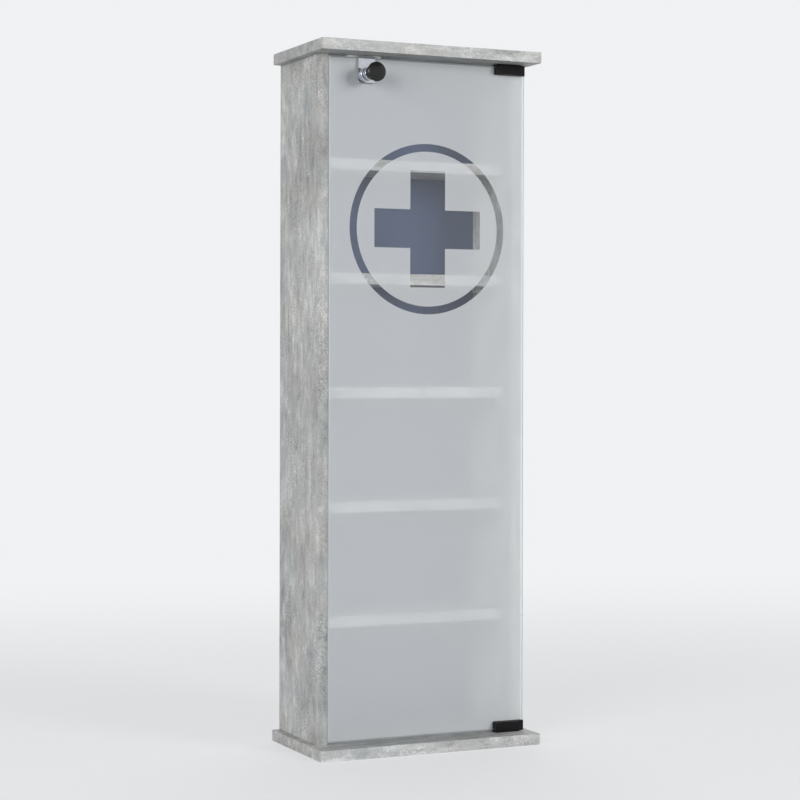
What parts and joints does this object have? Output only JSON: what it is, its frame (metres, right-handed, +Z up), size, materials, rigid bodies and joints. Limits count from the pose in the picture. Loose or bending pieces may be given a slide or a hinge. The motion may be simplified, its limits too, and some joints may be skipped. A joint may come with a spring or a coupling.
{
  "type": "medicine cabinet",
  "caption": "Tall narrow wall-hung medicine cabinet: concrete-look boards, shelves behind a frosted glass door on pivot clips, a clamped knob, a magnet catch and keyhole hangers.",
  "frame": {"origin": "on the wall plane, midway between the centres of the two keyholes", "axes": "+Z up, +Y into the wall, +X to the right of someone who faces the door"},
  "size_m": [0.325, 0.1831, 0.95],
  "materials": {
    "concrete_decor": "matt concrete decor on chipboard",
    "back_board": "thin fibreboard, slate lacquer in front",
    "support_plastic": "satin moulded plastic",
    "beech": "fluted beech",
    "zinc_steel": "bright zinc plate",
    "nylon": "natural nylon",
    "catch_plastic": "white moulded plastic",
    "ferrite": "dark sintered ferrite",
    "clear_glass": "polished float glass with ground edges",
    "frost": "frosted layer",
    "black_coating": "black powder coat",
    "liner_rubber": "soft black liner",
    "pale_liner": "soft pale liner",
    "bright_chrome": "bright chrome",
    "black_gloss": "polished black"
  },
  "bodies": {
    "cabinet": {"bottom_board": "concrete_decor", "top_board": "concrete_decor", "left_side": "concrete_decor", "right_side": "concrete_decor", "hanging_rail": "concrete_decor", "shelf_1": "concrete_decor", "shelf_2": "concrete_decor", "shelf_3": "concrete_decor", "shelf_4": "concrete_decor", "shelf_5": "concrete_decor", "back_panel": "back_board", "shelf_supports": "support_plastic", "dowels": "beech", "cam_bolts": "zinc_steel", "cam_discs": "zinc_steel", "left_keyhole_plate": "zinc_steel", "right_keyhole_plate": "zinc_steel", "keyhole_plate_screws": "zinc_steel", "catch_pole_plates": "zinc_steel", "catch_screws": "zinc_steel", "bottom_pivot_bush": "nylon", "top_pivot_bush": "nylon", "catch_housing": "catch_plastic", "catch_magnet": "ferrite"},
    "door": {"door_glass": "clear_glass", "frost_film": "frost", "bottom_hinge_clip": "black_coating", "top_hinge_clip": "black_coating", "bottom_hinge_liner": "liner_rubber", "top_hinge_liner": "liner_rubber", "bottom_hinge_pin": "zinc_steel", "top_hinge_pin": "zinc_steel", "hinge_set_screws": "black_coating", "knob_clip": "bright_chrome", "knob_clip_liner": "pale_liner", "knob_rivet": "zinc_steel", "knob_collar": "bright_chrome", "knob_cap": "black_gloss"}
  },
  "joints": [
    {"name": "door_hinge", "type": "hinge", "parent": "cabinet", "child": "door", "pos_m": [0.15065, -0.142, -0.422], "axis": [0, 0, 1], "range_deg": [0, 180]}
  ]
}
